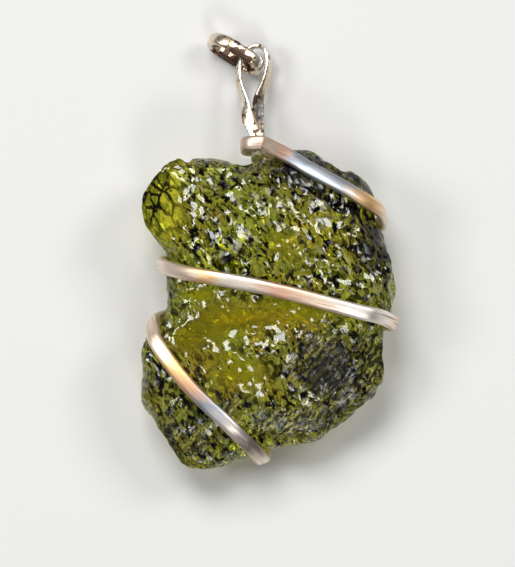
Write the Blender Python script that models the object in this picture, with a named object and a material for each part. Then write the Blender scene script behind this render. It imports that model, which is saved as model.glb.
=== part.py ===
"""Raw moldavite pendant: a glass stone wound with one flat silver wire, with a bail and a chain link.

The pendant lies on its back. +Y points towards the bail, +Z points up, away from the surface that
it rests on. The origin is under the middle of the whole pendant, on that surface.
Lengths are in millimetres until a mesh is finished, when it is scaled to metres.
"""

import math

import bmesh
import bpy
import numpy as np
from mathutils import Matrix, Vector, noise
from mathutils.bvhtree import BVHTree

MM = 0.001
UP = Vector((0, 0, 1))

# Stone: outline seen from above, counter-clockwise from its rightmost point
STONE_OUTLINE = (
    (11.7, -3.7), (11.4, -1.9), (10.8, 0.4), (10.2, 2.3), (9.7, 4.4), (8.9, 6.7),
    (7.4, 7.7), (5.4, 8.8), (3.8, 9.3), (1.6, 9.3), (-0.5, 8.75), (-2.4, 8.55),
    (-4.4, 8.8), (-6.8, 8.7), (-8.1, 8.6), (-9.4, 8.1), (-10.6, 6.9), (-11.3, 5.6),
    (-11.6, 4.1), (-11.4, 2.9), (-10.8, 1.8), (-9.7, 1.0), (-9.2, -0.1), (-9.2, -1.9),
    (-9.0, -4.1), (-9.3, -6.4), (-10.6, -7.1), (-11.7, -7.8), (-11.9, -8.8),
    (-11.7, -10.8), (-11.2, -13.1), (-10.3, -15.5), (-8.8, -17.7), (-7.3, -19.3),
    (-5.6, -19.8), (-4.3, -19.5), (-3.3, -18.8), (-1.4, -18.5), (0.2, -17.8),
    (2.0, -17.4), (4.0, -17.0), (5.8, -16.0), (7.4, -14.9), (9.0, -13.8),
    (10.0, -12.6), (10.5, -11.2), (10.4, -9.5), (10.6, -7.3), (11.2, -5.5),
)
STONE_CENTRE = (1.6, -4.1)
STONE_RIM_HEIGHT = 5.7
STONE_RIM_SLOPE = 0.055
STONE_FRONT_DEPTH = 4.6
STONE_BACK_DEPTH = 5.2
STONE_FULLNESS = 2.5
STONE_CELL = 0.86
STONE_SMOOTHING = 0.4
# Kept back from the outline, so that lumps don't reach past it
STONE_SHRINK = 0.12

# Relief: x, y, radius, height of each mound (negative for a hollow), on the front and on the back
FRONT_MOUNDS = (
    (-9.0, 5.0, 3.2, 0.9),
    (-2.0, 4.0, 5.5, 0.9),
    (6.5, 1.5, 4.0, 0.7),
    (-8.0, -14.0, 3.8, 0.8),
    (3.0, -13.5, 3.0, 0.4),
    (8.6, -4.5, 2.8, 0.7),
    (-3.2, -6.2, 3.0, -1.4),
    (1.8, -6.4, 2.6, -1.0),
    (6.0, -10.6, 2.6, -1.3),
    (-7.6, 0.2, 2.2, -0.7),
    (3.6, 7.4, 2.2, -0.6),
)
BACK_MOUNDS = (
    (-1.0, -11.6, 5.0, 1.0),
    (0.5, 5.6, 4.2, 0.7),
    (0.0, 0.6, 2.8, -1.0),
    (-4.4, 0.6, 2.2, -0.4),
    (-8.0, 0.0, 2.4, -0.9),
    (8.5, 0.6, 2.4, -0.6),
    (-1.8, -5.6, 2.7, -1.6),
    (3.0, -6.2, 2.8, -1.3),
    (-8.0, -5.2, 2.4, -0.8),
    (7.5, -6.0, 2.4, -0.6),
)
# Grooves and ridges: two ends, half width and height, all on the front
FRONT_LINES = (
    ((-10.4, -6.6), (-6.2, -12.8), 1.2, -0.9),
    ((-6.2, -12.8), (-0.6, -18.0), 1.2, -0.8),
    ((-3.5, -8.7), (3.0, -7.6), 0.9, 0.6),
    ((3.0, -15.2), (7.4, -11.8), 0.9, 0.9),
    ((7.4, -11.8), (10.0, -8.2), 0.9, 0.9),
    ((5.2, 6.8), (8.2, 1.0), 1.0, 0.5),
    ((-5.5, 6.0), (-4.0, 0.5), 1.0, -0.5),
    ((-8.8, 2.6), (-9.6, -1.0), 0.9, -0.5),
)
LUMP_SIZE = 3.4
LUMP_HEIGHT = 0.42
PIT_SPACING = 2.7
PIT_RADIUS = 0.5
PIT_DEPTH = 0.7
FLAT_SPOT_HEIGHT = 0.32

# Wrap wire: flat silver, rolled edges
WIRE_WIDTH = 1.26
WIRE_THICKNESS = 0.75
WIRE_EDGE = 0.2
WIRE_CLEARANCE = 0.2
WIRE_LEAST_GAP = 0.26
WIRE_MAX_STEP = 1.7
WIRE_MAX_TURN = math.radians(10)
STEPS_PER_TURN = 180
# Degrees on each side of an edge over which one strand turns into the next
EDGE_BLEND = 24
# Points along the whole wire, and how often they are smoothed
WIRE_POINTS = 1400
WIRE_SMOOTHING = 60

# Strands: left and right end seen from above, sideways bow, and its lean to the left
FRONT_STRANDS = {
    "top": ((0.4, 9.15), (10.7, 3.2), 0.25, 0.0),
    "middle": ((-10.0, -1.3), (11.4, -6.0), 0.55, 0.2),
    "lower": ((-10.3, -6.9), (-0.7, -17.9), -0.75, 0.5),
}
BACK_STRANDS = {
    "top": ((-10.0, -0.4), (10.8, 2.2), 0.0, 0.0),
    "middle": ((-10.0, -5.4), (11.4, -6.3), 0.0, 0.0),
    "tail": ((2.6, -9.0), (-0.6, -18.1), 0.0, 0.0),
    "start": ((0.2, 9.0), (8.8, 2.9), 0.0, 0.0),
}
# Where the wire starts and ends, and where it leaves the stone for the hairpin, in degrees round it
START_TAIL_ANGLE = -62
START_JOIN_ANGLE = -142
TOP_JOIN_ANGLE = 132
TAIL_ANGLE = -42

# Hairpin of the wire above the stone, which the bail hangs on: y and z of its two strands
HAIRPIN_LEFT = -2.48
HAIRPIN_BEND = 0.6
HAIRPIN_RIGHT = -0.1
HAIRPIN_STEP = 0.45
HAIRPIN_BEND_STEPS = 6
HAIRPIN_FRONT = (10.0, 6.25)
HAIRPIN_BACK = (9.42, 3.45)

# Bail: one closed loop of flat silver, turned a quarter between its eye and its upper loop
BAIL_WIDTH = 1.15
BAIL_THICKNESS = 0.42
BAIL_EDGE = 0.12
BAIL_X = -0.88
BAIL_DROOP = math.radians(8.0)
# Route of the strip: across, along and above the hinge, and the turn of its width in degrees
BAIL_ROUTE = (
    (0.0, -1.03, 0.0, 90), (-0.04, -0.72, 0.74, 90), (-0.07, 0.0, 1.03, 90),
    (-0.1, 0.85, 1.0, 90), (-0.34, 1.65, 0.94, 88), (-0.8, 2.45, 0.8, 80),
    (-1.02, 3.3, 0.66, 62), (-1.12, 4.2, 0.45, 40), (-1.37, 5.15, 0.25, 27),
    (-1.64, 6.05, 0.1, 20), (-1.74, 7.0, 0.0, 14), (-1.62, 7.9, 0.0, 8),
    (-1.2, 8.75, 0.0, 2), (-0.6, 9.3, 0.0, -2), (0.15, 9.45, 0.0, -6),
    (0.75, 9.0, 0.0, -12), (1.0, 8.15, 0.0, -18), (0.94, 7.25, -0.04, -24),
    (0.72, 6.3, -0.12, -32), (0.38, 5.4, -0.24, -44), (0.1, 4.6, -0.42, -60),
    (0.06, 3.6, -0.66, -78), (0.03, 2.4, -0.88, -88), (0.02, 1.1, -1.01, -90),
    (0.01, 0.0, -1.03, -90), (0.0, -0.72, -0.74, -90),
)
# The strip comes back to its start turned over
BAIL_FLIP = (0, 0, 0, -180)
BAIL_RINGS = 66
# Point of the route that the chain link hangs on
BAIL_SHOULDER = 12

# Chain link through the bail
LINK_LENGTH = 5.7
LINK_BREADTH = 3.7
LINK_WIDTH = 1.2
LINK_THICKNESS = 0.68
LINK_EDGE = 0.2
LINK_ALONG = (0.843, -0.525, -0.17)
LINK_TILT = math.radians(72)
LINK_CENTRE = (-2.85, 18.05, 2.12)
LINK_RINGS = 36
# How sharply the link's straight sides turn into its round ends
LINK_CORNER = 6

# Rays are cast from well outside the stone, and one that misses it counts as this far out
FAR_OUTSIDE = 40
MISSED = 0.3

# Finishes: base colour, roughness, metallic
FINISHES = {
    "moldavite": ((0.16, 0.17, 0.01), 0.25, 0.0),
    "wrap_wire": ((0.78, 0.72, 0.66), 0.32, 1.0),
    "bail": ((0.86, 0.84, 0.80), 0.12, 1.0),
    "chain_link": ((0.86, 0.83, 0.77), 0.12, 1.0),
}


def clear_scene():
    for item in list(bpy.data.objects):
        bpy.data.objects.remove(item, do_unlink=True)


def finish_node(name, mesh):
    """Puts a finished mesh in the scene with its own material."""
    colour, roughness, metallic = FINISHES[name]
    material = bpy.data.materials.new(name)
    material.use_nodes = True
    shader = material.node_tree.nodes["Principled BSDF"]
    shader.inputs["Base Color"].default_value = (*colour, 1.0)
    shader.inputs["Roughness"].default_value = roughness
    shader.inputs["Metallic"].default_value = metallic
    mesh.materials.append(material)
    mesh.shade_smooth()
    item = bpy.data.objects.new(name, mesh)
    bpy.context.collection.objects.link(item)
    return item


def spline(points, count, closed, flip=0.0):
    """Points evenly spaced along a smooth curve through the given rows."""
    rows = np.array(points, float)
    if closed:
        rows = np.vstack([rows[-1] - flip, rows, rows[0] + flip, rows[1] + flip])
    else:
        rows = np.vstack([2 * rows[0] - rows[1], rows, 2 * rows[-1] - rows[-2]])
    t = np.linspace(0, 1, 24, endpoint=False)[:, None]
    dense = []
    for a, b, c, d in zip(rows, rows[1:], rows[2:], rows[3:]):
        dense.append(
            b + 0.5 * t * (c - a + t * (2 * a - 5 * b + 4 * c - d + t * (3 * (b - c) + d - a)))
        )
    dense = np.vstack(dense + [rows[-2][None]])
    run = np.r_[0, np.cumsum(np.linalg.norm(np.diff(dense[:, :3], axis=0), axis=1))]
    wanted = np.linspace(0, run[-1], count, endpoint=not closed)
    return np.column_stack([np.interp(wanted, run, column) for column in dense.T])


def rim_height(y):
    return STONE_RIM_HEIGHT + STONE_RIM_SLOPE * y


def mound(x, y, mounds):
    return sum(h * math.exp(-((x - mx) ** 2 + (y - my) ** 2) / r**2) for mx, my, r, h in mounds)


def line_relief(x, y):
    """Grooves and ridges that run along straight lines on the front."""
    total = 0.0
    for (ax, ay), (bx, by), half_width, height in FRONT_LINES:
        dx, dy = bx - ax, by - ay
        t = ((x - ax) * dx + (y - ay) * dy) / (dx * dx + dy * dy)
        t = min(1.0, max(0.0, t))
        off = math.hypot(x - ax - t * dx, y - ay - t * dy)
        total += height * math.exp(-((off / half_width) ** 2))
    return total


def shape_stone(bm):
    """Turns a unit sphere into the stone: the outline fills the plan, the relief sets the depth."""
    outline = spline(STONE_OUTLINE, 720, closed=True)
    power = 2 / STONE_FULLNESS
    for vert in bm.verts:
        x, y, z = vert.co
        across = math.hypot(x, y)
        turn = math.atan2(y, x) / (2 * math.pi) % 1.0
        rim = outline[int(round(turn * len(outline))) % len(outline)]
        reach = min(1.0, across) ** power
        px = STONE_CENTRE[0] + reach * (rim[0] - STONE_CENTRE[0])
        py = STONE_CENTRE[1] + reach * (rim[1] - STONE_CENTRE[1])
        rise = abs(z) ** power
        if z > 0:
            depth = STONE_FRONT_DEPTH + mound(px, py, FRONT_MOUNDS) + line_relief(px, py)
            pz = rim_height(py) + depth * rise
        else:
            depth = STONE_BACK_DEPTH + mound(px, py, BACK_MOUNDS)
            pz = rim_height(py) - depth * rise
        vert.co = (px, py, pz)


def roughen(bm):
    """Lumps and etched pits, pushed along the surface normals."""
    bm.normal_update()
    for vert, normal in [(v, v.normal.copy()) for v in bm.verts]:
        place = vert.co
        lump = noise.noise(place / LUMP_SIZE) + 0.5 * noise.noise(place * 2.1 / LUMP_SIZE)
        gap = noise.voronoi(place / PIT_SPACING)[0][0]
        pit = max(0.0, 1 - (gap / PIT_RADIUS) ** 2) ** 2
        vert.co = place + normal * (LUMP_HEIGHT * lump - PIT_DEPTH * pit - STONE_SHRINK)


def make_stone():
    bm = bmesh.new()
    bmesh.ops.create_icosphere(bm, subdivisions=7, radius=1.0)
    shape_stone(bm)
    mesh = bpy.data.meshes.new("stone_form")
    bm.to_mesh(mesh)
    bm.free()
    form = bpy.data.objects.new("stone_form", mesh)
    bpy.context.collection.objects.link(form)
    remesh = form.modifiers.new("even_faces", "REMESH")
    remesh.mode = "VOXEL"
    remesh.voxel_size = STONE_CELL
    remesh.adaptivity = 0.0
    graph = bpy.context.evaluated_depsgraph_get()
    even = bpy.data.meshes.new_from_object(form.evaluated_get(graph))
    bpy.data.objects.remove(form, do_unlink=True)

    bm = bmesh.new()
    bm.from_mesh(even)
    for _ in range(2):
        bmesh.ops.smooth_vert(
            bm, verts=bm.verts, factor=STONE_SMOOTHING, use_axis_x=True, use_axis_y=True, use_axis_z=True
        )
    roughen(bm)
    floor = min(v.co.z for v in bm.verts) + FLAT_SPOT_HEIGHT
    for vert in bm.verts:
        vert.co.z = max(vert.co.z - floor, 0.0)
    bmesh.ops.triangulate(bm, faces=bm.faces)
    tree = BVHTree.FromBMesh(bm)
    bmesh.ops.scale(bm, vec=(MM, MM, MM), verts=bm.verts)
    bm.to_mesh(even)
    bm.free()
    finish_node("moldavite", even)
    return tree


def strand_frame(strand):
    """Middle, direction and sideways direction of a strand."""
    left, right, bow, lean = strand
    middle = Vector(((left[0] + right[0]) / 2, (left[1] + right[1]) / 2, 0))
    middle.z = rim_height(middle.y)
    along = Vector((right[0] - left[0], right[1] - left[1], 0)).normalized()
    return middle, along, UP.cross(along), bow, lean


def taut_edge(tree, strand, offset):
    """Distance from the strand's middle to one edge of a wire drawn tight round the stone."""
    middle, along, sideways, bow, lean = strand_frame(strand)
    angles = np.radians(np.arange(0, 360, 360 / STEPS_PER_TURN))
    hits = []
    for angle in angles:
        ray = along * math.cos(angle) + UP * math.sin(angle)
        shift = offset + bow * max(0.0, math.sin(angle)) * (1 - lean * math.cos(angle))
        start = middle + sideways * shift
        place = tree.ray_cast(start + ray * FAR_OUTSIDE, -ray)[0]
        hits.append((place - start).dot(ray) if place is not None else MISSED)
    hits = np.array(hits)
    plan = np.column_stack([hits * np.cos(angles), hits * np.sin(angles)])
    facing = np.column_stack([np.cos(angles), np.sin(angles)])
    support = (plan @ facing.T).max(axis=0) + WIRE_CLEARANCE
    # In each direction the tight wire is as near as the lines that touch the section allow
    spread = np.cos(angles[:, None] - angles[None, :])
    facing_away = spread < 0.05
    spread[facing_away] = 1.0
    tight = support[None, :] / spread
    tight[facing_away] = np.inf
    return tight.min(axis=1)


def strand_curve(tree, strand):
    """Inner face of a strand: a function from its angle to the middle and width direction."""
    middle, along, sideways, bow, lean = strand_frame(strand)
    half = WIRE_WIDTH / 2
    edges = [taut_edge(tree, strand, s * half) for s in (-1, 0, 1)]
    centre_rise = np.maximum(edges[1] - (edges[0] + edges[2]) / 2, 0)
    low, high = edges[0] + centre_rise, edges[2] + centre_rise

    def at(degrees):
        index = int(round(degrees * STEPS_PER_TURN / 360)) % STEPS_PER_TURN
        angle = math.radians(degrees)
        ray = along * math.cos(angle) + UP * math.sin(angle)
        shift = bow * max(0.0, math.sin(angle)) * (1 - lean * math.cos(angle))
        left = middle + sideways * (shift - half) + ray * low[index]
        right = middle + sideways * (shift + half) + ray * high[index]
        return (left + right) / 2, (right - left).normalized()

    return at


def wrap_route(tree):
    """Middle of the wire's inner face and its width direction, all along the wire."""
    step = 360 / STEPS_PER_TURN
    start = strand_curve(tree, BACK_STRANDS["start"])
    route = [start(a) for a in np.arange(START_TAIL_ANGLE, START_JOIN_ANGLE, -step)]
    route += hairpin_route()
    turns = [
        (FRONT_STRANDS["top"], TOP_JOIN_ANGLE, 0),
        (BACK_STRANDS["top"], 0, -180),
        (FRONT_STRANDS["middle"], -180, -360),
        (BACK_STRANDS["middle"], -360, -540),
        (FRONT_STRANDS["lower"], -540, -720),
        (BACK_STRANDS["tail"], -720, -720 + TAIL_ANGLE),
    ]
    curves = [strand_curve(tree, strand) for strand, _, _ in turns]
    for k, (_, first, last) in enumerate(turns):
        for degrees in np.arange(first, last, -step):
            place, width = curves[k](degrees)
            for other, edge in ((k - 1, first), (k + 1, last)):
                near = 1 - abs(degrees - edge) / EDGE_BLEND
                if 0 <= other < len(turns) and near > 0:
                    weight = 0.5 * near * near * (3 - 2 * near)
                    place_2, width_2 = curves[other](degrees)
                    place = place.lerp(place_2, weight)
                    width = width.lerp(width_2, weight).normalized()
            route.append((place, width))
    return route


def hairpin_route():
    """The bend above the stone: back strand, up to the front, and front strand."""
    thick = WIRE_THICKNESS / 2
    bend = HAIRPIN_BEND
    web = HAIRPIN_LEFT + thick
    (front_y, front_z), (back_y, back_z) = HAIRPIN_FRONT, HAIRPIN_BACK
    straight = [HAIRPIN_RIGHT - HAIRPIN_STEP * k for k in range(4)]
    turns = [math.radians(90 * k / HAIRPIN_BEND_STEPS) for k in range(HAIRPIN_BEND_STEPS + 1)]
    inner = bend - thick
    flat = [(x, back_z + thick) for x in straight]
    flat += [(web + bend - inner * math.sin(t), back_z + bend - inner * math.cos(t)) for t in turns]
    flat += [(web + bend - inner * math.cos(t), front_z - bend + inner * math.sin(t)) for t in turns]
    flat += [(x, front_z - thick) for x in reversed(straight)]
    route = []
    for x, z in flat:
        t = (z - back_z) / (front_z - back_z)
        y = back_y + (front_y - back_y) * t * t * (3 - 2 * t)
        route.append((Vector((x, y, z)), Vector((0, 1, 0))))
    return route


def flat_section(width, thickness, edge):
    """Cross-section of flat wire with rolled edges: sideways and outward."""
    w, t = width / 2, thickness
    return [
        (w, edge), (w, t - edge), (w - edge, t), (edge - w, t),
        (-w, t - edge), (-w, edge), (edge - w, 0.0), (w - edge, 0.0),
    ]


def sweep(bm, places, widths, outwards, section, closed, flipped=False):
    """Skins a section carried along a path, which may close on itself turned over."""
    rings = []
    for place, width, outward in zip(places, widths, outwards):
        rings.append([bm.verts.new(place + width * s + outward * o) for s, o in section])
    half_turn = len(section) // 2 if flipped else 0
    pairs = list(zip(rings, rings[1:] + [rings[0][half_turn:] + rings[0][:half_turn]]))
    for first, second in pairs if closed else pairs[:-1]:
        for k in range(len(section)):
            n = (k + 1) % len(section)
            bm.faces.new((first[k], first[n], second[n], second[k]))
    if not closed:
        bm.faces.new(rings[0])
        bm.faces.new(rings[-1])
    bmesh.ops.recalc_face_normals(bm, faces=bm.faces)


def write_node(name, bm):
    bmesh.ops.triangulate(bm, faces=bm.faces)
    bmesh.ops.scale(bm, vec=(MM, MM, MM), verts=bm.verts)
    mesh = bpy.data.meshes.new(name)
    bm.to_mesh(mesh)
    bm.free()
    return finish_node(name, mesh)


def clear_of_stone(tree, place, width, outward):
    """Lifts a place on the wire's inner face until the whole width of it clears the stone."""
    lift = 0.0
    for share in (-0.54, -0.27, 0, 0.27, 0.54):
        foot = place + width * share * WIRE_WIDTH
        hit = tree.ray_cast(foot + outward * 2 * WIRE_WIDTH, -outward, 4 * WIRE_WIDTH)[0]
        if hit is not None:
            lift = max(lift, (hit - foot).dot(outward) + WIRE_LEAST_GAP)
    return place + outward * lift


def make_wrap_wire(tree):
    rows = [(*place, *width) for place, width in wrap_route(tree)]
    rows = spline(rows, WIRE_POINTS, closed=False)
    for _ in range(WIRE_SMOOTHING):
        rows[1:-1] = 0.5 * rows[1:-1] + 0.25 * (rows[:-2] + rows[2:])
    places = [Vector(row[:3]) for row in rows]
    ahead, behind = places[1:] + places[-1:], places[:1] + places[:-1]
    tangents = [(b - a).normalized() for a, b in zip(behind, ahead)]
    widths, outwards = [], []
    for row, tangent in zip(rows, tangents):
        width = Vector(row[3:])
        width = (width - tangent * width.dot(tangent)).normalized()
        widths.append(width)
        outwards.append(tangent.cross(width))
    places = [clear_of_stone(tree, *spot) for spot in zip(places, widths, outwards)]

    # Rings only where the wire has turned or run far enough since the last one
    kept, turned, run = [0], 0.0, 0.0
    for k in range(1, len(places)):
        turned += tangents[k].angle(tangents[k - 1]) + 0.5 * widths[k].angle(widths[k - 1])
        run += (places[k] - places[k - 1]).length
        if turned > WIRE_MAX_TURN or run > WIRE_MAX_STEP:
            kept.append(k)
            turned, run = 0.0, 0.0
    kept.append(len(places) - 1)
    bm = bmesh.new()
    section = flat_section(WIRE_WIDTH, WIRE_THICKNESS, WIRE_EDGE)
    rings = [[values[k] for k in kept] for values in (places, widths, outwards)]
    sweep(bm, *rings, section, closed=False)
    write_node("wrap_wire", bm)


def bail_frame():
    """Hinge point, and the bail's across, along and above directions."""
    hinge = Vector((BAIL_X, HAIRPIN_BACK[0], HAIRPIN_BACK[1]))
    along = Vector((0, math.cos(BAIL_DROOP), -math.sin(BAIL_DROOP)))
    above = Vector((0, math.sin(BAIL_DROOP), math.cos(BAIL_DROOP)))
    return hinge, Vector((1, 0, 0)), along, above


def closed_tangents(places):
    count = len(places)
    return [(places[(k + 1) % count] - places[k - 1]).normalized() for k in range(count)]


def make_bail():
    hinge, across, along, above = bail_frame()
    rows = spline(BAIL_ROUTE, BAIL_RINGS, closed=True, flip=np.array(BAIL_FLIP))
    places = [hinge + across * x + along * l + above * h for x, l, h, _ in rows]
    widths, outwards = [], []
    for row, tangent in zip(rows, closed_tangents(places)):
        turn = math.radians(row[3])
        width = above * math.cos(turn) + across * math.sin(turn)
        width = (width - tangent * width.dot(tangent)).normalized()
        widths.append(width)
        outwards.append(tangent.cross(width))
    places = [p - o * BAIL_THICKNESS / 2 for p, o in zip(places, outwards)]
    bm = bmesh.new()
    section = flat_section(BAIL_WIDTH, BAIL_THICKNESS, BAIL_EDGE)
    sweep(bm, places, widths, outwards, section, closed=True, flipped=True)
    item = write_node("bail", bm)
    set_origin(item, hinge)
    return item


def link_frame():
    """Centre of the link, its long and short directions, and the direction through it."""
    long_way = Vector(LINK_ALONG).normalized()
    level = UP.cross(long_way).normalized()
    short_way = level * math.cos(LINK_TILT) + long_way.cross(level) * math.sin(LINK_TILT)
    return Vector(LINK_CENTRE), long_way, short_way, long_way.cross(short_way)


def shoulder():
    """Where the link hangs on the bail: a point of the strip and the way it runs there."""
    hinge, across, along, _ = bail_frame()
    before, here, after = BAIL_ROUTE[BAIL_SHOULDER - 1 : BAIL_SHOULDER + 2]
    run = across * (after[0] - before[0]) + along * (after[1] - before[1])
    return hinge + across * here[0] + along * here[1], run.normalized()


def make_link():
    centre, long_way, short_way, through = link_frame()
    a = (LINK_LENGTH - LINK_THICKNESS) / 2
    b = (LINK_BREADTH - LINK_THICKNESS) / 2
    straight = a - b
    places = []
    for k in range(LINK_RINGS):
        turn = 2 * math.pi * k / LINK_RINGS
        side = max(-1.0, min(1.0, LINK_CORNER * math.cos(turn)))
        x = b * math.cos(turn) + straight * side
        places.append(centre + long_way * x + short_way * b * math.sin(turn))
    outwards = [t.cross(through) for t in closed_tangents(places)]
    places = [p - o * LINK_THICKNESS / 2 for p, o in zip(places, outwards)]
    bm = bmesh.new()
    section = flat_section(LINK_WIDTH, LINK_THICKNESS, LINK_EDGE)
    sweep(bm, places, [through] * LINK_RINGS, outwards, section, closed=True)
    item = write_node("chain_link", bm)
    set_origin(item, shoulder()[0])
    return item


def set_origin(item, place):
    """Moves an object's origin to a place on its joint's axis."""
    item.data.transform(Matrix.Translation(-place * MM))
    item.location = place * MM


clear_scene()
stone_tree = make_stone()
make_wrap_wire(stone_tree)
make_bail()
make_link()
bpy.context.view_layer.update()
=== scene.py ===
"""Raw moldavite pendant, seen from straight above as it lies on its back on a pale table."""

import math

import bmesh
import bpy
import numpy as np
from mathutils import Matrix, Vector, noise


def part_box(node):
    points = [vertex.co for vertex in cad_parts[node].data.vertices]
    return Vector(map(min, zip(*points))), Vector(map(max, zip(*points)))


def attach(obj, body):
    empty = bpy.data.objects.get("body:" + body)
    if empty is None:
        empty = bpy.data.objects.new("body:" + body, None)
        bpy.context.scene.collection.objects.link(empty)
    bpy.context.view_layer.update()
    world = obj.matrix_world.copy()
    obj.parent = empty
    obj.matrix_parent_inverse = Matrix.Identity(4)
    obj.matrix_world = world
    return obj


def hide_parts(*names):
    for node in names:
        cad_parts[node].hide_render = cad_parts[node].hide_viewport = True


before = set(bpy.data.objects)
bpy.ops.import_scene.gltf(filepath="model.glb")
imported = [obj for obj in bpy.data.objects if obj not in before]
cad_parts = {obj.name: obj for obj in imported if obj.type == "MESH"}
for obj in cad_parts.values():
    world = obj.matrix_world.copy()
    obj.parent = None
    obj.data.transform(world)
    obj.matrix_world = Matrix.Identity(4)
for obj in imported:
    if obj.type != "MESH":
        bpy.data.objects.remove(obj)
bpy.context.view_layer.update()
MM = 0.001


# Camera
# It looks straight down from far away through a long lens, so there is hardly any perspective.
# The view is 46.35 by 51.03 mm at half the stone's height.
VIEW_CENTRE = (-0.9 * MM, -2.655 * MM)
VIEW_LONG_SIDE = 51.03 * MM
VIEW_HEIGHT = 5 * MM
CAMERA_HEIGHT = 1.5

camera = bpy.data.objects.new("camera", bpy.data.cameras.new("camera"))
camera.data.lens = camera.data.sensor_width * (CAMERA_HEIGHT - VIEW_HEIGHT) / VIEW_LONG_SIDE
camera.location = (*VIEW_CENTRE, CAMERA_HEIGHT)
bpy.context.scene.collection.objects.link(camera)
bpy.context.scene.camera = camera


# Moldavite
# One piece of natural green glass. Acids in the ground have etched it all over with pits and
# gouges, which leave smooth windows between them. It isn't cut or polished.
STONE_LEVELS = 2
GLASS_IOR = 1.49
GLASS_COLOUR = (0.88, 0.90, 0.0)
GLASS_DENSITY = 84.0
GLASS_SPECULAR = 0.7
# Bubbles and flow lines in the glass scatter the rest
GLASS_CLEARNESS = 0.92

# What the etching has left where, and where light and shade are painted, on the front: x, y,
# half length, half breadth in mm, turn in degrees and strength. Windows are smooth and clear,
# dull shade is dull glass darkened with painted shade, grain is fine wavy lines, glow is painted
# light, a paler tint with less painted shade, glints are faces that lie towards the light, lit
# patches are flat patches brightened with painted light and parted by lines of painted shade, calm
# is where few faces lean, and deep shade is where more of the hollows are painted black as shade.
REGIONS = {
    "window": (
        (-4.3, -6.2, 3.2, 2.1, 0, 0.95), (0.6, -5.3, 3.4, 1.3, 8, 0.8), (4.0, -5.6, 1.8, 0.9, 10, 0.6),
        (-10.3, 4.8, 2.2, 3.8, 0, 1.0), (-6.3, -3.6, 1.8, 0.7, 0, 1.0), (-7.4, -7.6, 1.5, 1.3, 0, 0.9),
        (-2.7, -10.6, 2.6, 1.7, -20, 0.8), (1.9, 0.3, 2.0, 0.9, -50, 0.7),
    ),
    "dull_shade": (
        (5.6, -10.6, 3.0, 2.0, 30, 0.9), (9.8, 0.9, 1.8, 3.0, 0, 0.75), (2.9, 7.4, 3.6, 1.5, -25, 0.85),
        (-5.9, -13.9, 1.6, 1.0, -40, 0.5), (-9.8, -10.8, 1.3, 1.6, 0, 0.3), (7.0, 7.4, 3.6, 1.3, -37, 0.6),
    ),
    "grain": (
        (4.8, -9.5, 3.6, 3.0, 40, 1.0), (6.9, -13.0, 4.8, 1.5, 48, 1.0), (2.0, -15.0, 3.2, 1.4, 10, 1.0),
        (-7.2, -17.8, 3.6, 2.8, -50, 0.8), (-9.5, -14.0, 1.3, 3.0, 10, 0.5), (9.5, -8.5, 1.6, 3.2, 10, 0.8),
        (-2.6, -14.2, 3.0, 2.2, 0, 0.7),
    ),
    "glow": (
        (-9.8, 4.6, 2.2, 3.8, 0, 1.0), (-5.5, 6.4, 3.8, 2.4, 0, 0.7), (1.0, 3.6, 4.8, 2.8, -20, 0.9),
        (5.8, 1.6, 3.2, 2.4, -20, 0.9), (-1.9, -5.7, 4.0, 1.8, 5, 0.4), (-7.0, 1.0, 2.6, 2.0, 0, 0.5),
        (-1.2, 0.6, 4.2, 1.8, 0, 0.8),
    ),
    "glint": (
        (-3.3, 1.6, 2.2, 1.6, -60, 0.85), (2.0, 4.2, 3.2, 2.2, -45, 0.7), (-0.9, -8.0, 3.4, 0.45, 8, 1.0),
        (-3.4, -9.7, 0.7, 0.35, 0, 1.0), (-6.6, -5.4, 0.6, 0.5, 0, 1.0), (-1.7, -12.2, 0.6, 0.3, 0, 1.0),
        (3.1, -2.7, 0.9, 0.6, -60, 0.9), (5.3, -1.2, 1.2, 0.9, -60, 0.6), (10.0, -1.8, 1.0, 1.8, -10, 0.5),
        (-6.4, 3.2, 2.4, 1.4, -50, 0.5), (7.0, 2.0, 2.4, 1.8, -50, 0.6), (-4.2, 6.8, 3.0, 1.2, -20, 0.4),
        (-1.0, 4.4, 3.0, 1.8, -20, 0.5), (0.2, 1.4, 2.8, 1.1, -20, 0.5),
    ),
    "lit_patches": ((-10.2, 5.0, 3.6, 4.6, 0, 1.0),),
    "calm": (
        (-5.0, -9.2, 2.8, 1.3, 0, 0.9), (-3.6, -12.4, 3.2, 1.4, -10, 0.9), (-8.4, -13.2, 2.4, 3.8, 10, 0.85),
        (-5.6, -4.8, 1.6, 1.2, 0, 0.5), (0.6, -10.2, 1.8, 1.4, 0, 0.8), (8.6, -6.4, 2.2, 1.2, 0, 0.7),
        (3.2, -12.0, 2.4, 1.6, 20, 0.8), (-9.4, -7.4, 1.4, 2.2, 0, 0.7),
    ),
    "hollow": (
        (7.2, 8.2, 3.6, 1.8, -38, 1.0), (2.9, 7.2, 3.4, 1.2, -25, 0.55), (-0.8, -4.0, 2.4, 0.6, -8, 1.0),
        (-9.8, -10.8, 1.3, 1.5, 0, 0.7), (9.8, 0.8, 1.7, 3.2, 0, 0.6), (-5.9, -13.9, 1.7, 0.9, -40, 0.8),
        (7.4, 4.0, 3.5, 0.8, -32, 0.9),
        (-4.9, 0.8, 2.2, 0.6, 0, 0.5), (-7.2, 5.8, 1.6, 0.8, 0, 0.5), (7.6, -10.4, 1.6, 2.4, 30, 0.5),
        (-11.2, -7.4, 0.9, 1.4, 0, 0.8), (-3.4, -7.6, 1.2, 0.5, 0, 0.5),
    ),
}
# Gouges are longer than they are broad, and run down to the right
GOUGE_ALONG = Vector((0.5, -0.86, 0.1)).normalized()
GOUGE_STRETCH = 0.5
# Spacing, radius as a share of it and depth in mm, of the gouges and of the fine pits
GOUGES = (1.35, 0.66, 0.50)
PITS = (0.62, 0.62, 0.06)
# The ridges between the pits stand this far out of the first skin, and the rim is etched less
RIDGE_RISE = 0.14
RIM_ETCHING = 0.5
# Size and height of the ridges
RIDGES = (1.3, 0.30)
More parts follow.
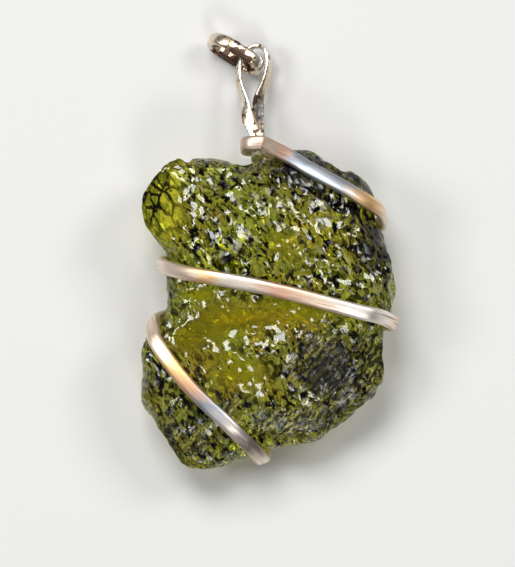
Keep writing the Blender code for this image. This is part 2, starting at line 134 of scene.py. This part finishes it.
# Smooth glass lies level, and the faces that glint lean towards the light
UP = Vector((0, -0.07, 1)).normalized()
LEVEL = {"window": 0.85, "grain": 0.75, "lit_patches": 1.0, "calm": 0.85}
TO_LIGHT = Vector((-0.09, 0.25, 0.96)).normalized()

def joined_copy(node_name):
    """A bmesh of a CAD node, with its loose triangles joined at their corners."""
    bm = bmesh.new()
    bm.from_mesh(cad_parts[node_name].data)
    bmesh.ops.remove_doubles(bm, verts=bm.verts, dist=1e-7)
    return bm


def put_piece(name, bm, body, node_name):
    """Finishes a piece: its mesh, the body that it rides on and the CAD node that it stands for."""
    mesh = bpy.data.meshes.new(name)
    bm.to_mesh(mesh)
    bm.free()
    mesh.shade_smooth()
    piece = bpy.data.objects.new(name, mesh)
    bpy.context.scene.collection.objects.link(piece)
    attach(piece, body)
    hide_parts(node_name)
    return piece


def subdivided(bm, levels):
    """The bmesh rounded off by that many levels of subdivision surface."""
    mesh = bpy.data.meshes.new("rough")
    bm.to_mesh(mesh)
    bm.free()
    rough = bpy.data.objects.new("rough", mesh)
    bpy.context.scene.collection.objects.link(rough)
    surface = rough.modifiers.new("round", "SUBSURF")
    surface.levels = surface.render_levels = levels
    even = bpy.data.meshes.new_from_object(rough.evaluated_get(bpy.context.evaluated_depsgraph_get()))
    bpy.data.objects.remove(rough, do_unlink=True)
    fine = bmesh.new()
    fine.from_mesh(even)
    return fine


def share_of(region, x, y):
    """How much of that kind of surface there is at x and y, from 0 to 1."""
    total = 0.0
    for cx, cy, length, breadth, turn, strength in REGIONS[region]:
        c, s = math.cos(math.radians(turn)), math.sin(math.radians(turn))
        u, v = (x - cx) * c + (y - cy) * s, (y - cy) * c - (x - cx) * s
        total += strength * math.exp(-(((u / length) ** 2 + (v / breadth) ** 2) ** 2))
    return min(1.0, total)


def etched_depth(place):
    """How deep the acid has eaten below the stone's first skin, in mm."""
    warped = place + 0.5 * noise.noise_vector(place / 2.4)
    along = warped.dot(GOUGE_ALONG)
    squeezed = warped - GOUGE_ALONG * along * (1 - GOUGE_STRETCH)
    smooth = share_of("window", place.x, place.y)
    depth = pit = 0.0
    for (spacing, share, deepest), spot in ((GOUGES, squeezed), (PITS, warped + Vector((7, 3, 5)))):
        off = noise.voronoi(spot / spacing)[0][0] / share
        size = 0.65 + 0.5 * noise.noise(spot / (3 * spacing))
        bowl = size * max(0.0, 1 - off * off) * (1 - 0.8 * smooth)
        depth += deepest * bowl
        pit = max(pit, bowl)
    spacing, height = RIDGES
    ridge = 1 - abs(noise.noise(squeezed / spacing)) * 2
    depth += height * (1 - ridge) * (1 - 0.6 * smooth)
    return depth, pit


bm = subdivided(joined_copy("moldavite"), STONE_LEVELS)
low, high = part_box("moldavite")
bm.normal_update()
crevice = bm.verts.layers.float.new("crevice")
front = bm.verts.layers.float.new("front")
skin = bm.verts.layers.float_vector.new("skin")
shares = {name: bm.verts.layers.float.new(name) for name in REGIONS}
etching = [(v, v.normal.copy(), *etched_depth(v.co / MM)) for v in bm.verts]
for vert, normal, depth, pit in etching:
    vert[crevice] = pit
    vert[front] = min(1.0, max(0.0, normal.z + 0.3) / 0.5)
    for name, layer in shares.items():
        share = share_of(name, vert.co.x / MM, vert.co.y / MM)
        vert[layer] = share if name == "dull_shade" else share * vert[front]
    level = max(vert[shares[name]] * much for name, much in LEVEL.items())
    vert[skin] = normal.lerp(UP, level).lerp(TO_LIGHT, 0.8 * vert[shares["glint"]]).normalized()
    on_flat_spot = max(0.0, 1 - vert.co.z / (0.5 * MM))
    flatness = RIM_ETCHING + (1 - RIM_ETCHING) * min(1.0, abs(normal.z) / 0.6)
    vert.co -= normal * (depth * flatness - RIDGE_RISE) * MM * (1 - on_flat_spot)
    vert.co = Vector(min(max(c, a), b) for c, a, b in zip(vert.co, low, high))
stone = put_piece("stone_glass", bm, "pendant", "moldavite")

glass = bpy.data.materials.new("green_glass")
glass.use_nodes = True
nodes, links = glass.node_tree.nodes, glass.node_tree.links
shader = nodes["Principled BSDF"]
shader.inputs["Transmission Weight"].default_value = GLASS_CLEARNESS
shader.inputs["IOR"].default_value = GLASS_IOR
shader.inputs["Specular IOR Level"].default_value = GLASS_SPECULAR
absorption = nodes.new("ShaderNodeVolumeAbsorption")
absorption.inputs["Color"].default_value = (*GLASS_COLOUR, 1.0)
absorption.inputs["Density"].default_value = GLASS_DENSITY
links.new(absorption.outputs["Volume"], nodes["Material Output"].inputs["Volume"])


def add_node(nodes, kind, **settings):
    """A shader node with its properties and its unlinked inputs set."""
    node = nodes.new("ShaderNode" + kind)
    for name, value in settings.items():
        if hasattr(node, name):
            setattr(node, name, value)
        else:
            node.inputs[name.replace("_", " ")].default_value = value
    return node


def add_mix(nodes, links, factor, first, second, blend_type="MIX"):
    """A colour mix whose three inputs are sockets, numbers or colours. Returns its result."""
    mix = nodes.new("ShaderNodeMix")
    mix.data_type = "RGBA"
    mix.blend_type = blend_type
    for socket, value in ((mix.inputs["Factor"], factor), (mix.inputs[6], first), (mix.inputs[7], second)):
        if isinstance(value, bpy.types.NodeSocket):
            links.new(value, socket)
        else:
            socket.default_value = value
    return mix.outputs[2]


# Positions along the gouges, which are stirred so that nothing made of them looks regular
place = add_node(nodes, "TexCoord")
turned = add_node(nodes, "Mapping", vector_type="TEXTURE")
turned.inputs["Rotation"].default_value = (0, 0, math.radians(-60))
turned.inputs["Scale"].default_value = (1.7, 1.0, 1.0)
links.new(place.outputs["Object"], turned.inputs["Vector"])
stir = add_node(nodes, "TexNoise", Scale=600.0, Detail=3.0)
links.new(turned.outputs["Vector"], stir.inputs["Vector"])
stirred = add_node(nodes, "VectorMath", operation="MULTIPLY_ADD")
stirred.inputs[1].default_value = (0.0009, 0.0009, 0.0009)
links.new(stir.outputs["Color"], stirred.inputs[0])
links.new(turned.outputs["Vector"], stirred.inputs[2])
region = {
    name: add_node(nodes, "Attribute", attribute_name=name).outputs["Fac"]
    for name in ("crevice", "front", *REGIONS)
}


def noise_band(scale, low, high, source, detail=3.0):
    """A noise, and 1 where it lies above high, 0 where it lies below low."""
    texture = add_node(nodes, "TexNoise", Scale=scale, Detail=detail)
    links.new(source.outputs["Vector"], texture.inputs["Vector"])
    band = add_node(nodes, "MapRange", From_Min=low, From_Max=high)
    links.new(texture.outputs["Fac"], band.inputs["Value"])
    return texture.outputs["Fac"], band.outputs["Result"]


def combine(operation, first, second):
    """The result of a sum on two sockets, or on a socket and a number."""
    node = add_node(nodes, "Math", operation=operation)
    for socket, value in zip(node.inputs, (first, second)):
        if isinstance(value, bpy.types.NodeSocket):
            links.new(value, socket)
        else:
            socket.default_value = value
    return node.outputs["Value"]


def banded(value, low, high, first=0.0, last=1.0):
    """A number that goes from first to last while the value goes from low to high."""
    band = add_node(nodes, "MapRange", From_Min=low, From_Max=high, To_Min=first, To_Max=last)
    links.new(value, band.inputs["Value"])
    return band.outputs["Result"]


# The etching leaves small scallops, and each gets a random amount of painted shade
scallops = add_node(nodes, "TexVoronoi", Scale=2300.0)
links.new(stirred.outputs["Vector"], scallops.inputs["Vector"])
chance = add_node(nodes, "TexWhiteNoise")
links.new(scallops.outputs["Position"], chance.inputs["Vector"])
shade = banded(chance.outputs["Value"], 0.14, 0.52)

# Painted shade: deep hollows are painted black as they look from above, and thin lines of
# painted shade run between the bright patches
_, golden = noise_band(260.0, 0.44, 0.58, turned)
deepness, _ = noise_band(1850.0, 0.0, 1.0, stirred)
hollows = banded(combine("ADD", deepness, combine("MULTIPLY", region["hollow"], 0.12)), 0.55, 0.59)
wave, _ = noise_band(850.0, 0.0, 1.0, stirred, detail=2.0)
line_shade = banded(combine("ABSOLUTE", combine("SUBTRACT", wave, 0.5), 0.0), 0.006, 0.028, 1.0, 0.0)
etched = combine("SUBTRACT", 1.0, region["window"])
dark = combine("MULTIPLY", combine("MAXIMUM", hollows, line_shade), etched)
# Pits are darkened with painted shade as well
dark = combine("MAXIMUM", dark, banded(region["crevice"], 0.55, 0.85))
# Lines of painted shade part the lit patches
edges = add_node(nodes, "TexVoronoi", feature="DISTANCE_TO_EDGE", Scale=900.0)
links.new(stirred.outputs["Vector"], edges.inputs["Vector"])
edge_shade = combine("MULTIPLY", banded(edges.outputs["Distance"], 0.08, 0.13, 1.0, 0.0), region["lit_patches"])
# All this painted shade is strongest on the front and faint on the back
dark = combine("MULTIPLY", combine("MAXIMUM", dark, edge_shade), banded(region["front"], 0.0, 1.0, 0.25, 1.0))

clear = add_mix(nodes, links, golden, (0.80, 0.92, 0.21, 1), (0.95, 0.75, 0.12, 1))
# Painted light: where light shines through, the tint is paler
clear = add_mix(nodes, links, region["glow"], clear, (0.97, 1.0, 0.14, 1))
# Each scallop's painted shade goes on the front only, less where the glass glows, and not in windows
shaded = add_mix(nodes, links, shade, (0.035, 0.04, 0.012, 1), (1, 1, 1, 1))
shade_share = combine("SUBTRACT", region["front"], combine("MULTIPLY", region["glow"], 0.3))
shade_share = combine("MULTIPLY", shade_share, etched)
shaded = add_mix(nodes, links, shade_share, (1, 1, 1, 1), shaded)
clear = add_mix(nodes, links, 1.0, clear, shaded, "MULTIPLY")
clear = add_mix(nodes, links, region["window"], clear, (0.62, 0.55, 0.01, 1))
# Painted light: the lit patches get a nearly clear tint, so they look bright
clear = add_mix(nodes, links, region["lit_patches"], clear, (0.96, 1.0, 0.08, 1))

# Where the etching is finest it leaves wavy lines that run up to the right
combed = add_node(nodes, "Mapping", vector_type="TEXTURE")
combed.inputs["Rotation"].default_value = (0, 0, math.radians(48))
combed.inputs["Scale"].default_value = (5.0, 1.0, 1.0)
warp = add_node(nodes, "VectorMath", operation="MULTIPLY_ADD")
warp.inputs[1].default_value = (0.0008, 0.0008, 0.0008)
links.new(stir.outputs["Color"], warp.inputs[0])
links.new(place.outputs["Object"], warp.inputs[2])
links.new(warp.outputs["Vector"], combed.inputs["Vector"])
lines, bright_lines = noise_band(3200.0, 0.49, 0.58, combed)
lined = add_mix(nodes, links, bright_lines, (0.02, 0.022, 0.012, 1), (0.92, 0.92, 0.34, 1))
clear = add_mix(nodes, links, region["grain"], clear, lined)

# The dark marks are painted black as shade
glass_with_shade = add_mix(nodes, links, dark, clear, (0, 0, 0, 1))
# Dull patches are rough glass darkened nearly black with painted shade
dull_shade_colour = add_mix(nodes, links, region["dull_shade"], (1, 1, 1, 1), (0.04, 0.037, 0.03, 1))
links.new(add_mix(nodes, links, 1.0, glass_with_shade, dull_shade_colour, "MULTIPLY"), shader.inputs["Base Color"])
dullness = combine("MAXIMUM", region["dull_shade"], combine("MULTIPLY", region["grain"], 0.7))
# Some scallops are frosted, and look paler
sharp = combine("MULTIPLY", etched, combine("SUBTRACT", 1.0, region["grain"]))
frosted = banded(combine("MULTIPLY", chance.outputs["Color"], sharp), 0.70, 0.84)
rough = combine("MAXIMUM", banded(dullness, 0.0, 1.0, 0.03, 0.28), combine("MULTIPLY", frosted, 0.36))
links.new(rough, shader.inputs["Roughness"])

# Each scallop is flat, and leans out of the stone's skin by up to this much
SCALLOP_SLOPE = 1.1
lean = add_node(nodes, "VectorMath", operation="SUBTRACT")
lean.inputs[1].default_value = (0.5, 0.5, 0.5)
links.new(scallops.outputs["Color"], lean.inputs[0])
calm = combine("MULTIPLY", combine("MAXIMUM", region["window"], region["lit_patches"]), 0.9)
rest = combine("MAXIMUM", combine("MULTIPLY", region["grain"], 0.8), combine("MULTIPLY", region["calm"], 0.8))
calm = combine("MAXIMUM", calm, rest)
flatter = combine("MAXIMUM", calm, combine("MULTIPLY", region["glint"], 0.6))
leaning = add_node(nodes, "VectorMath", operation="SCALE")
links.new(lean.outputs["Vector"], leaning.inputs[0])
links.new(banded(flatter, 0.0, 1.0, SCALLOP_SLOPE, 0.0), leaning.inputs["Scale"])
skin_way = add_node(nodes, "Attribute", attribute_name="skin")
face = add_node(nodes, "VectorMath", operation="ADD")
links.new(skin_way.outputs["Vector"], face.inputs[0])
links.new(leaning.outputs["Vector"], face.inputs[1])
face_way = add_node(nodes, "VectorTransform", vector_type="NORMAL", convert_from="OBJECT", convert_to="WORLD")
links.new(face.outputs["Vector"], face_way.inputs["Vector"])
# Seen from inside the glass, the same faces are turned the other way
relief = add_node(nodes, "NewGeometry")
side = add_node(nodes, "VectorMath", operation="DOT_PRODUCT")
links.new(face_way.outputs["Vector"], side.inputs[0])
links.new(relief.outputs["Normal"], side.inputs[1])
outward = add_node(nodes, "VectorMath", operation="SCALE")
links.new(face_way.outputs["Vector"], outward.inputs[0])
links.new(combine("SIGN", side.outputs["Value"], 0.0), outward.inputs["Scale"])
facing = add_node(nodes, "Mix", data_type="VECTOR")
links.new(banded(calm, 0.0, 1.0, 0.22, 0.03), facing.inputs["Factor"])
links.new(outward.outputs["Vector"], facing.inputs[4])
links.new(relief.outputs["Normal"], facing.inputs[5])
facet_way = add_node(nodes, "VectorMath", operation="NORMALIZE")
links.new(facing.outputs[1], facet_way.inputs[0])
grain_lines = add_node(nodes, "Bump", Distance=0.09 * MM)
links.new(lines, grain_lines.inputs["Height"])
links.new(region["grain"], grain_lines.inputs["Strength"])
links.new(facet_way.outputs["Vector"], grain_lines.inputs["Normal"])
grain = add_node(nodes, "TexNoise", Scale=3000.0, Detail=2.0)
links.new(place.outputs["Object"], grain.inputs["Vector"])
bump = add_node(nodes, "Bump", Distance=0.02 * MM)
links.new(banded(calm, 0.0, 1.0, 0.6, 0.15), bump.inputs["Strength"])
links.new(grain.outputs["Fac"], bump.inputs["Height"])
links.new(grain_lines.outputs["Normal"], bump.inputs["Normal"])
links.new(bump.outputs["Normal"], shader.inputs["Normal"])
stone.data.materials.append(glass)


# Wrap wire
# One length of flat silver wire with rolled edges, wound tight round the stone by hand. It is
# satin from drawing and handling, with warm and bluish tarnish and painted reflections along it.
WIRE_LEVELS = 2
WIRE_CORNERS = 8
WIRE_START = Vector((6.405, 4.819, 1.43)) * MM
# Rounding off draws the section in, so it is first made that much bigger
WIRE_SPREAD = 1.10


def rings_of(bm, end):
    """The wire's rings of corners, in order from the one at that end."""
    bm.verts.index_update()
    ring = sorted(bm.verts, key=lambda v: (v.co - end).length)[:WIRE_CORNERS]
    seen, rings = set(ring), []
    while ring:
        rings.append(ring)
        beyond = {e.other_vert(v) for v in ring for e in v.link_edges} - seen
        ring = sorted(beyond, key=lambda v: v.index)
        seen.update(ring)
    return rings


bm = joined_copy("wrap_wire")
wire_place = bm.verts.layers.float_vector.new("wire_place")
rings = rings_of(bm, WIRE_START)
centres = [sum((v.co for v in ring), Vector()) / len(ring) for ring in rings]
evened = [(a + 2 * b + c) / 4 for a, b, c in zip(centres, centres[1:], centres[2:])]
evened = [centres[0], *evened, centres[-1]]
run, across = 0.0, Vector((1, 0, 0))
for k, ring in enumerate(rings):
    broad = Vector(np.linalg.svd(np.array([v.co - centres[k] for v in ring]))[2][0])
    across = broad if broad.dot(across) > 0 else -broad
    run += (centres[k] - centres[k - 1]).length if k else 0.0
    through = (centres[min(k + 1, len(rings) - 1)] - centres[max(k - 1, 0)]).normalized().cross(across)
    for vert in ring:
        off = vert.co - centres[k]
        vert[wire_place] = Vector((run, off.dot(across), off.dot(through))) / MM
        vert.co = evened[k] + off * WIRE_SPREAD
bmesh.ops.join_triangles(
    bm, faces=bm.faces, angle_face_threshold=math.radians(50), angle_shape_threshold=math.radians(80)
)
bm = subdivided(bm, WIRE_LEVELS)
wire = put_piece("wire", bm, "pendant", "wrap_wire")

# Tarnish and painted reflections along the wire: distance from its start in mm, and tone
TONES = {
    "pale": (0.80, 0.70, 0.59),
    "beige": (0.84, 0.68, 0.53),
    "tan": (0.60, 0.50, 0.41),
    "white": (0.84, 0.75, 0.65),
    "bright": (0.97, 0.90, 0.83),
    "grey": (0.80, 0.72, 0.66),
    "blue": (0.34, 0.38, 0.43),
    "gold": (0.82, 0.50, 0.20),
    "rose": (0.76, 0.46, 0.32),
    "dark": (0.26, 0.20, 0.17),
}
TARNISH_AND_REFLECTIONS = (
    (0, "grey"), (9, "beige"), (11, "tan"), (15.5, "tan"), (17, "rose"), (18.5, "blue"), (24, "blue"),
    (26.4, "gold"), (28, "beige"), (29.5, "pale"), (40, "grey"), (57, "grey"), (61.5, "beige"),
    (63, "gold"), (65, "white"), (67.5, "white"), (69.5, "rose"), (74, "beige"), (77, "bright"),
    (80.5, "bright"), (82, "beige"), (100, "grey"), (110, "pale"), (114, "beige"), (116.5, "gold"),
    (119, "rose"), (121, "blue"), (124, "grey"), (126, "dark"), (128, "pale"), (133, "grey"),
)
WIRE_RUN = 133.5

silver = bpy.data.materials.new("satin_silver")
silver.use_nodes = True
nodes, links = silver.node_tree.nodes, silver.node_tree.links
shader = nodes["Principled BSDF"]
shader.inputs["Metallic"].default_value = 1.0
along_wire = add_node(nodes, "Attribute", attribute_name="wire_place")
# The tones run into each other in long tongues, so their place along the wire is stirred first
tongues = add_node(nodes, "TexNoise", Scale=1.0, Detail=3.0)
drawn = add_node(nodes, "VectorMath", operation="MULTIPLY")
drawn.inputs[1].default_value = (0.35, 1.6, 1.6)
links.new(along_wire.outputs["Vector"], drawn.inputs[0])
links.new(drawn.outputs["Vector"], tongues.inputs["Vector"])
parts = add_node(nodes, "SeparateXYZ")
links.new(along_wire.outputs["Vector"], parts.inputs["Vector"])
shift = add_node(nodes, "Math", operation="MULTIPLY_ADD")
shift.inputs[1].default_value = 5.0
links.new(tongues.outputs["Fac"], shift.inputs[0])
links.new(parts.outputs["X"], shift.inputs[2])
share = add_node(nodes, "MapRange", From_Min=2.5, From_Max=WIRE_RUN + 2.5)
links.new(shift.outputs["Value"], share.inputs["Value"])
tint = add_node(nodes, "ValToRGB")
ramp = tint.color_ramp
for k, (distance, tone) in enumerate(TARNISH_AND_REFLECTIONS):
    stop = ramp.elements[0] if k == 0 else ramp.elements.new(distance / WIRE_RUN)
    stop.position = distance / WIRE_RUN
    stop.color = (*TONES[tone], 1)
ramp.elements.remove(ramp.elements[-1])
links.new(share.outputs["Result"], tint.inputs["Fac"])
# Drawing lines run the length of the wire, and dull brown is left in the broader ones
lines = add_node(nodes, "TexNoise", Scale=1.0, Detail=4.0)
stretched = add_node(nodes, "VectorMath", operation="MULTIPLY")
stretched.inputs[1].default_value = (0.25, 7.0, 7.0)
links.new(along_wire.outputs["Vector"], stretched.inputs[0])
links.new(stretched.outputs["Vector"], lines.inputs["Vector"])
dull = add_node(nodes, "MapRange", From_Min=0.54, From_Max=0.68)
links.new(lines.outputs["Fac"], dull.inputs["Value"])
stained = add_mix(nodes, links, dull.outputs["Result"], tint.outputs["Color"], (0.42, 0.29, 0.21, 1))
links.new(stained, shader.inputs["Base Color"])
worn = add_node(nodes, "MapRange", From_Min=0.3, From_Max=0.7, To_Min=0.38, To_Max=0.56)
links.new(lines.outputs["Fac"], worn.inputs["Value"])
links.new(worn.outputs["Result"], shader.inputs["Roughness"])
drawing = add_node(nodes, "Bump", Strength=0.8, Distance=0.014 * MM)
links.new(lines.outputs["Fac"], drawing.inputs["Height"])
specks = add_node(nodes, "TexNoise", Scale=5000.0, Detail=2.0)
place = add_node(nodes, "TexCoord")
links.new(place.outputs["Object"], specks.inputs["Vector"])
hammered = add_node(nodes, "Bump", Strength=0.6, Distance=0.02 * MM)
links.new(specks.outputs["Fac"], hammered.inputs["Height"])
links.new(drawing.outputs["Normal"], hammered.inputs["Normal"])
links.new(hammered.outputs["Normal"], shader.inputs["Normal"])
wire.data.materials.append(silver)


# Bail
# A closed loop of thin flat silver, polished, twisted a quarter turn between its eye round the
# wire and its upper loop for the chain.
BAIL_LEVELS = 3

# Where tarnish is left on it, in its folds: x, y, radius in mm
BAIL_TARNISH = (
    (-1.22, 14.1, 0.24), (-1.22, 13.6, 0.24), (-1.26, 13.05, 0.22), (-1.45, 12.75, 0.17),
    (-1.27, 12.25, 0.18), (-1.15, 11.75, 0.22), (-0.98, 11.25, 0.34), (-2.12, 12.5, 0.16),
    (-2.25, 11.9, 0.17), (-2.34, 11.2, 0.22), (-0.72, 12.3, 0.13), (-0.59, 11.7, 0.14),
    (-1.5, 18.2, 0.5),
)


def tarnish_spots(bm, spots):
    """Marks how tarnished each corner of the metal is, from 0 to 1."""
    layer = bm.verts.layers.float.new("tarnish")
    for vert in bm.verts:
        x, y = vert.co.x / MM, vert.co.y / MM
        vert[layer] = min(1.0, sum(math.exp(-((x - cx) ** 2 + (y - cy) ** 2) / r**2) for cx, cy, r in spots))


bm = subdivided(joined_copy("bail"), BAIL_LEVELS)
tarnish_spots(bm, BAIL_TARNISH)
bail = put_piece("bail_loop", bm, "bail", "bail")

polish = bpy.data.materials.new("polished_silver")
polish.use_nodes = True
nodes, links = polish.node_tree.nodes, polish.node_tree.links
shader = nodes["Principled BSDF"]
place = add_node(nodes, "TexCoord")
tarnished = add_node(nodes, "Attribute", attribute_name="tarnish").outputs["Fac"]
warm = add_node(nodes, "TexNoise", Scale=420.0, Detail=2.0)
links.new(place.outputs["Object"], warm.inputs["Vector"])
warmth = banded(combine("ADD", warm.outputs["Fac"], combine("MULTIPLY", tarnished, 0.3)), 0.42, 0.70)
tone = add_mix(nodes, links, warmth, (0.80, 0.75, 0.67, 1), (0.66, 0.50, 0.33, 1))
brown = add_node(nodes, "TexNoise", Scale=1300.0, Detail=4.0)
links.new(place.outputs["Object"], brown.inputs["Vector"])
stain = banded(combine("ADD", brown.outputs["Fac"], combine("MULTIPLY", tarnished, 0.26)), 0.61, 0.68)
links.new(add_mix(nodes, links, stain, tone, (0.07, 0.036, 0.02, 1)), shader.inputs["Base Color"])
links.new(banded(stain, 0.0, 1.0, 1.0, 0.6), shader.inputs["Metallic"])
scratches = add_node(nodes, "Mapping", vector_type="TEXTURE")
scratches.inputs["Scale"].default_value = (1.0, 6.0, 1.0)
links.new(place.outputs["Object"], scratches.inputs["Vector"])
fine = add_node(nodes, "TexNoise", Scale=6000.0, Detail=3.0)
links.new(scratches.outputs["Vector"], fine.inputs["Vector"])
rubbed = banded(fine.outputs["Fac"], 0.35, 0.65, 0.20, 0.38)
worn = combine("MAXIMUM", rubbed, combine("MULTIPLY", stain, 0.4))
links.new(worn, shader.inputs["Roughness"])
dents = add_node(nodes, "TexNoise", Scale=1100.0, Detail=1.0)
links.new(place.outputs["Object"], dents.inputs["Vector"])
uneven = add_node(nodes, "Bump", Strength=0.5, Distance=0.06 * MM)
links.new(dents.outputs["Fac"], uneven.inputs["Height"])
links.new(uneven.outputs["Normal"], shader.inputs["Normal"])
bail.data.materials.append(polish)


# Chain link
# One oval link of the chain that the pendant hangs on, of the same polished silver.
LINK_LEVELS = 3

LINK_TARNISH = ((-4.6, 17.6, 0.9), (-3.3, 17.9, 1.0), (-2.3, 17.6, 0.9))

bm = subdivided(joined_copy("chain_link"), LINK_LEVELS)
tarnish_spots(bm, LINK_TARNISH)
link = put_piece("oval_link", bm, "link", "chain_link")
link.data.materials.append(polish)


# Table and light
# A pale matt table, and four soft square lights round the camera that make the glass sparkle.
TABLE_HALF = 0.4

bm = bmesh.new()
bmesh.ops.create_grid(bm, x_segments=1, y_segments=1, size=TABLE_HALF)
mesh = bpy.data.meshes.new("table")
bm.to_mesh(mesh)
bm.free()
table = bpy.data.objects.new("table", mesh)
bpy.context.scene.collection.objects.link(table)
pale = bpy.data.materials.new("pale_table")
pale.use_nodes = True
shader = pale.node_tree.nodes["Principled BSDF"]
shader.inputs["Base Color"].default_value = (0.56, 0.555, 0.54, 1)
shader.inputs["Roughness"].default_value = 0.7
table.data.materials.append(pale)


def add_light(name, towards, distance, size, strength):
    """A square area light in that direction from the pendant, facing it, of that radiance."""
    data = bpy.data.lights.new(name, "AREA")
    data.size = size
    data.energy = strength * math.pi * size * size
    light = bpy.data.objects.new(name, data)
    direction = Vector(towards).normalized()
    light.location = direction * distance
    light.rotation_euler = direction.to_track_quat("Z", "Y").to_euler()
    bpy.context.scene.collection.objects.link(light)


add_light("key", (-0.20, 0.55, 1.0), 0.8, 0.34, 14.0)
add_light("left", (-0.75, 0.1, 0.9), 0.8, 0.24, 14.0)
add_light("right", (0.70, 0.45, 0.9), 0.8, 0.24, 14.0)
add_light("front", (0.15, -0.7, 0.9), 0.8, 0.20, 12.0)

world = bpy.data.worlds.new("studio")
bpy.context.scene.world = world
world.use_nodes = True
world.node_tree.nodes["Background"].inputs["Color"].default_value = (0.9, 0.95, 1.0, 1)
world.node_tree.nodes["Background"].inputs["Strength"].default_value = 0.10

bpy.context.scene.view_settings.view_transform = "Standard"
